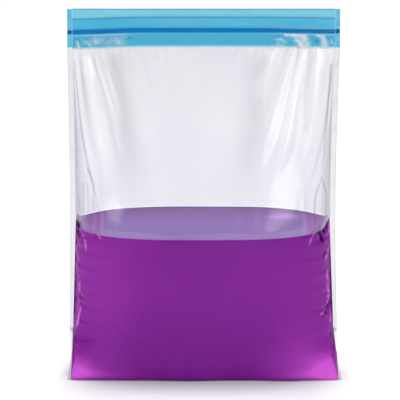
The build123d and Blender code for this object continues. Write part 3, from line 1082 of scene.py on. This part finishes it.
# Painted glow of the liquid, standing in for light through the bag's thin places: place across, as a share of
# the film's half-width and then millimetres further right, and height; reach across and up; strength. Lengths
# are in millimetres.
PAINTED_GLOWS = [
    (-1, 1, 6, 22, 17, 0.66), (1, -1, 7, 22, 15, 0.82), (1, -26, 24, 34, 34, 0.20),
    (-0.8, 0, 95, 32, 70, 0.12), (1, -34, 15, 36, 26, 0.13), (-1, 34, 12, 34, 20, 0.06),
    (-0.78, 0, 30, 40, 36, 0.08),
]
DEEP_GLOW = 0.245  # the tone where no glow reaches


def painted_glow(x, z):
    """Painted glow of the liquid: 0 deep purple, 1 magenta, as in the corners by the floor, with painted
    shade along its lowest edge.
    """
    half = film_half_width(z)
    glow = DEEP_GLOW - 0.45 * np.exp(-z / (1.6 * MM))
    for share, right, height, reach, reach_up, strength in PAINTED_GLOWS:
        sideways = bell(x - share * half - right * MM, reach * MM)
        glow += strength * sideways * bell(z - height * MM, reach_up * MM)
    glow += 0.22 * bell(z - 6 * MM, 5 * MM) * ease((np.abs(x) - 45 * MM) / (60 * MM))
    glow += 0.12 * np.exp(-(half - np.abs(x)) / (18 * MM)) * ease((z - 30 * MM) / (30 * MM))
    glow += 0.10 * ease((z - 20 * MM) / (80 * MM))
    glow += 0.04 * (1 - ease((z - 8 * MM) / (42 * MM)))
    return np.clip(glow, 0, 1)


# Painted pale pink highlights on the liquid's open surface: place across and from front (-1) to rear (1), as
# shares of the half-width and the half-depth, then their reach in the same shares and their strength.
SURFACE_PATCHES = [
    (0.66, 0.45, 0.09, 0.20, 0.9), (0.55, 0.42, 0.06, 0.12, 0.35), (0.80, 0.0, 0.018, 0.9, 0.5),
    (0.42, 0.0, 0.025, 0.8, 0.18), (0.28, 0.3, 0.02, 0.5, 0.12), (-0.66, 0.82, 0.04, 0.10, 0.35),
    (-0.80, 0.1, 0.012, 0.8, 0.55), (-0.86, 0.1, 0.010, 0.6, 0.3),
]


def surface_tones(x, y):
    """Where the open surface is pinker, at its narrow ends, and where it has painted pale highlights."""
    across = x / film_half_width(LIQUID_LEVEL)
    back = y / (FOLD_DEPTH + LEVEL_SWELL)
    pinker = ease((np.abs(across) - 0.77) / 0.06)
    painted_highlight_patches = np.zeros_like(x)
    for place, depth, reach, reach_back, strength in SURFACE_PATCHES:
        painted_highlight_patches += strength * bell(across - place, reach) * bell(back - depth, reach_back)
    return pinker, np.clip(painted_highlight_patches, 0, 0.9)


def level_at(across):
    """The liquid's level, which climbs in the narrow gaps beside the seals."""
    return LIQUID_LEVEL + CLIMB * np.exp(-(1 - np.abs(across)) / CLIMB_REACH)


def liquid_rings(across_values):
    """Rings of points round the liquid, one for each place across the bag."""
    rise = np.linspace(0.0, 1.0, 150)
    share = np.sin(0.5 * math.pi * np.linspace(-1, 1, 61))
    walls = {}
    for side in (-1, 1):
        across, z = np.meshgrid(across_values, rise)
        z = z * level_at(across)
        grid = wall_surface(across, z, side)
        turned = grid_normals(grid) * -side
        relief = wall_relief(grid[..., 0], grid[..., 2], side) - LIQUID_INSET
        walls[side] = grid + turned * relief[..., None]
    rings = []
    for column, across in enumerate(across_values):
        front, rear = walls[-1][:, column], walls[1][:, column]
        bottom = bottom_points(np.full(share.shape, across), share)
        bottom[:, 2] += 0.7 * MM
        spread = (1 - np.abs(share)) * (rear[-1, 1] - front[-1, 1]) / 2
        top = front[-1] + (rear[-1] - front[-1]) * (share[:, None] + 1) / 2
        top[:, 2] = level_at(across) - MENISCUS + MENISCUS * np.exp(-spread / (1.4 * MM))
        rings.append(np.vstack([bottom[1:-1], rear[1:], top[-2:0:-1], front[:0:-1]]))
    return np.array(rings), len(share) - 2, len(rise) - 1


def liquid():
    """The liquid, closed all round, with its open surface, its painted glow and its painted marks kept for
    the material.
    """
    across_values = across_steps(181) * 0.9995
    rings, bottom_count, wall_count = liquid_rings(across_values)
    columns, size = rings.shape[:2]
    vertices = rings.reshape(-1, 3)
    piece = outward(new_object("liquid", vertices, tube_faces(columns, size)))
    first, last = bottom_count + wall_count, size - wall_count
    on_top = np.zeros((columns, size))
    on_top[:, first:last] = 1.0
    to_back = np.zeros((columns, size))
    to_back[:, first:last] = np.linspace(1, 0, last - first)
    point_values(piece, "open_surface", on_top)
    point_values(piece, "to_back", to_back)
    pinker, painted_highlight_patches = surface_tones(vertices[:, 0], vertices[:, 1])
    point_values(piece, "pinker", pinker)
    point_values(piece, "painted_highlight_patches", painted_highlight_patches)
    point_values(piece, "painted_glow", painted_glow(vertices[:, 0], vertices[:, 2]))
    # painted shade and painted highlights of the film's side wrinkles, on the liquid's front
    front = np.where(vertices[:, 1] < 0, 1.0, 0.0) * (1 - on_top.reshape(-1))
    tone = side_marks(vertices[:, 0], vertices[:, 2]) * front * crumple(vertices[:, 1], vertices[:, 2])
    point_values(piece, "painted_highlight_mark", np.clip(tone, 0, 1))
    point_values(piece, "painted_shade_mark", np.clip(-tone, 0, 1))
    stay_on_bag(piece, PURPLE, "liquid_fill")


def build_bag():
    for side in (-1, 1):
        wall_film(side)
        header_tape(side)
    press_to_close()
    for end in (-1, 1):
        side_strips(end)
        crushed_end(end)
        for side in (-1, 1):
            foot(side, end)
    gusset()
    liquid()


# ---------------------------------------------------------------- floor, light and camera


FLOOR_HALF = 6.0


def build_floor():
    corners = [(-FLOOR_HALF, -FLOOR_HALF), (FLOOR_HALF, -FLOOR_HALF), (FLOOR_HALF, FLOOR_HALF),
               (-FLOOR_HALF, FLOOR_HALF)]
    floor = new_object("floor", [(x, y, -0.4 * MM) for x, y in corners], [(0, 1, 2, 3)])
    material, tree = blank_material("pale_floor")
    inputs = {"Base Color": (0.90, 0.90, 0.90, 1), "Roughness": 0.85, "Specular IOR Level": 0.1}
    inputs.update({"Emission Color": (1, 1, 1, 1), "Emission Strength": 0.05})
    finish_material(tree, node(tree, "ShaderNodeBsdfPrincipled", inputs).outputs[0])
    floor.data.materials.append(material)


def softbox(name, place, aim, width, height, power):
    light = bpy.data.lights.new(name, "AREA")
    light.shape = "RECTANGLE"
    light.size = width
    light.size_y = height
    light.energy = power
    lamp = bpy.data.objects.new(name, light)
    lamp.location = place
    lamp.rotation_euler = (Vector(aim) - Vector(place)).to_track_quat("-Z", "Y").to_euler()
    bpy.context.scene.collection.objects.link(lamp)


def build_light():
    world = bpy.data.worlds.new("studio")
    bpy.context.scene.world = world
    world.use_nodes = True
    world.node_tree.nodes["Background"].inputs["Color"].default_value = (0.30, 0.30, 0.315, 1)
    world.node_tree.nodes["Background"].inputs["Strength"].default_value = 1.0
    middle = (0, 0, REAR_LIP / 2)
    softbox("top_light", (0, 0.46, 2.6), (0, 0.34, 0), 0.8, 1.1, 62)
    softbox("left_light", (-1.05, -1.25, 1.1), middle, 0.60, 1.8, 6.4)
    softbox("right_light", (0.80, -1.42, 1.1), middle, 0.85, 1.8, 9)


CAMERA_ELEVATION = math.radians(18.8)
CAMERA_DISTANCE = 8.0
CAMERA_AIM = Vector((-0.0037, 0.0, 0.1833))
CAMERA_LENS = 696.7


def build_camera():
    data = bpy.data.cameras.new("camera")
    data.lens = CAMERA_LENS
    data.clip_end = 100
    camera = bpy.data.objects.new("camera", data)
    back = Vector((0, -math.cos(CAMERA_ELEVATION), math.sin(CAMERA_ELEVATION)))
    camera.location = CAMERA_AIM + back * CAMERA_DISTANCE
    camera.rotation_euler = (-back).to_track_quat("-Z", "Y").to_euler()
    bpy.context.scene.collection.objects.link(camera)
    bpy.context.scene.camera = camera


build_bag()
build_floor()
build_light()
build_camera()
bpy.context.scene.view_settings.view_transform = "Standard"
bpy.context.scene.cycles.transparent_max_bounces = 24
